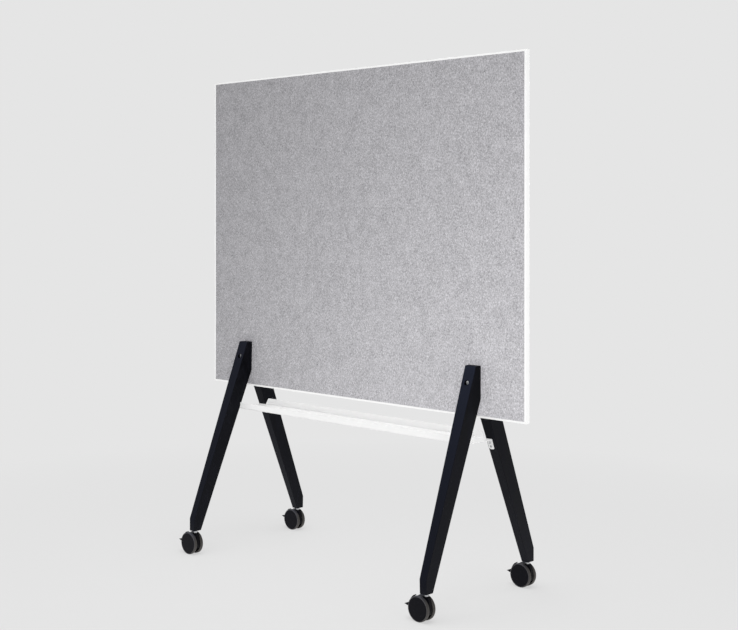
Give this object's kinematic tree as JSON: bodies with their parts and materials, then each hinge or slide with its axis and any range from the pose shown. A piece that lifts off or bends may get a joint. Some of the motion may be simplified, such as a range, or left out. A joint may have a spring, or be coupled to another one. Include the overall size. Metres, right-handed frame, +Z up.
{
  "type": "rolling partition",
  "caption": "Mobile room divider: felt-covered pin board clamped between splayed tapered wooden legs, with a folded sheet shelf and a braked twin-wheel castor under each leg.",
  "frame": {"origin": "on the floor, under the middle of the board", "axes": "X along the board's width, -Y towards the front, +Z up"},
  "size_m": [1.5, 0.561, 1.765],
  "materials": {
    "core_panel": "raw",
    "grey_felt": "felted",
    "white_trim": "satin",
    "white_sheet": "satin powder coat",
    "black_wood": "stained, matt lacquer",
    "fastener_steel": "zinc plated",
    "castor_steel": "zinc plated",
    "castor_plastic": "matt",
    "castor_tread": "matt"
  },
  "bodies": {
    "stand": {"board_core": "core_panel", "front_felt": "grey_felt", "back_felt": "grey_felt", "trim_top": "white_trim", "trim_bottom": "white_trim", "trim_left": "white_trim", "trim_right": "white_trim", "leg_front_left": "black_wood", "leg_front_right": "black_wood", "leg_rear_left": "black_wood", "leg_rear_right": "black_wood", "clamp_bolts": "fastener_steel", "sleeve_nuts": "fastener_steel", "board_sleeves": "fastener_steel", "shelf_tray": "white_sheet", "shelf_screws": "fastener_steel", "stem_sockets": "fastener_steel", "fl_stem": "castor_steel", "fr_stem": "castor_steel", "rl_stem": "castor_steel", "rr_stem": "castor_steel"},
    "fl_castor": {"fl_housing": "castor_plastic", "fl_axle": "castor_steel", "fl_lever_pin": "castor_steel"},
    "fl_lever": {"fl_brake_lever": "castor_plastic"},
    "fl_wheel_front": {"fl_hub_front": "castor_plastic", "fl_tyre_front": "castor_tread"},
    "fl_wheel_rear": {"fl_hub_rear": "castor_plastic", "fl_tyre_rear": "castor_tread"},
    "fr_castor": {"fr_housing": "castor_plastic", "fr_axle": "castor_steel", "fr_lever_pin": "castor_steel"},
    "fr_lever": {"fr_brake_lever": "castor_plastic"},
    "fr_wheel_front": {"fr_hub_front": "castor_plastic", "fr_tyre_front": "castor_tread"},
    "fr_wheel_rear": {"fr_hub_rear": "castor_plastic", "fr_tyre_rear": "castor_tread"},
    "rl_castor": {"rl_housing": "castor_plastic", "rl_axle": "castor_steel", "rl_lever_pin": "castor_steel"},
    "rl_lever": {"rl_brake_lever": "castor_plastic"},
    "rl_wheel_front": {"rl_hub_front": "castor_plastic", "rl_tyre_front": "castor_tread"},
    "rl_wheel_rear": {"rl_hub_rear": "castor_plastic", "rl_tyre_rear": "castor_tread"},
    "rr_castor": {"rr_housing": "castor_plastic", "rr_axle": "castor_steel", "rr_lever_pin": "castor_steel"},
    "rr_lever": {"rr_brake_lever": "castor_plastic"},
    "rr_wheel_front": {"rr_hub_front": "castor_plastic", "rr_tyre_front": "castor_tread"},
    "rr_wheel_rear": {"rr_hub_rear": "castor_plastic", "rr_tyre_rear": "castor_tread"}
  },
  "joints": [
    {"name": "fl_swivel", "type": "hinge", "parent": "stand", "child": "fl_castor", "pos_m": [-0.55975, -0.26, 0.08], "axis": [0, 0, 1], "continuous": true},
    {"name": "fl_roll_front", "type": "hinge", "parent": "fl_castor", "child": "fl_wheel_front", "pos_m": [-0.57875, -0.274, 0.04], "axis": [0, 1, 0], "continuous": true},
    {"name": "fl_roll_rear", "type": "hinge", "parent": "fl_castor", "child": "fl_wheel_rear", "pos_m": [-0.57875, -0.246, 0.04], "axis": [0, 1, 0], "continuous": true},
    {"name": "fl_brake", "type": "hinge", "parent": "fl_castor", "child": "fl_lever", "pos_m": [-0.60275, -0.26, 0.058], "axis": [0, -1, 0], "range_deg": [0, 10]},
    {"name": "fr_swivel", "type": "hinge", "parent": "stand", "child": "fr_castor", "pos_m": [0.55975, -0.26, 0.08], "axis": [0, 0, 1], "continuous": true},
    {"name": "fr_roll_front", "type": "hinge", "parent": "fr_castor", "child": "fr_wheel_front", "pos_m": [0.54075, -0.274, 0.04], "axis": [0, 1, 0], "continuous": true},
    {"name": "fr_roll_rear", "type": "hinge", "parent": "fr_castor", "child": "fr_wheel_rear", "pos_m": [0.54075, -0.246, 0.04], "axis": [0, 1, 0], "continuous": true},
    {"name": "fr_brake", "type": "hinge", "parent": "fr_castor", "child": "fr_lever", "pos_m": [0.51675, -0.26, 0.058], "axis": [0, -1, 0], "range_deg": [0, 10]},
    {"name": "rl_swivel", "type": "hinge", "parent": "stand", "child": "rl_castor", "pos_m": [-0.55975, 0.26, 0.08], "axis": [0, 0, 1], "continuous": true},
    {"name": "rl_roll_front", "type": "hinge", "parent": "rl_castor", "child": "rl_wheel_front", "pos_m": [-0.57875, 0.246, 0.04], "axis": [0, 1, 0], "continuous": true},
    {"name": "rl_roll_rear", "type": "hinge", "parent": "rl_castor", "child": "rl_wheel_rear", "pos_m": [-0.57875, 0.274, 0.04], "axis": [0, 1, 0], "continuous": true},
    {"name": "rl_brake", "type": "hinge", "parent": "rl_castor", "child": "rl_lever", "pos_m": [-0.60275, 0.26, 0.058], "axis": [0, -1, 0], "range_deg": [0, 10]},
    {"name": "rr_swivel", "type": "hinge", "parent": "stand", "child": "rr_castor", "pos_m": [0.55975, 0.26, 0.08], "axis": [0, 0, 1], "continuous": true},
    {"name": "rr_roll_front", "type": "hinge", "parent": "rr_castor", "child": "rr_wheel_front", "pos_m": [0.54075, 0.246, 0.04], "axis": [0, 1, 0], "continuous": true},
    {"name": "rr_roll_rear", "type": "hinge", "parent": "rr_castor", "child": "rr_wheel_rear", "pos_m": [0.54075, 0.274, 0.04], "axis": [0, 1, 0], "continuous": true},
    {"name": "rr_brake", "type": "hinge", "parent": "rr_castor", "child": "rr_lever", "pos_m": [0.51675, 0.26, 0.058], "axis": [0, -1, 0], "range_deg": [0, 10]}
  ]
}
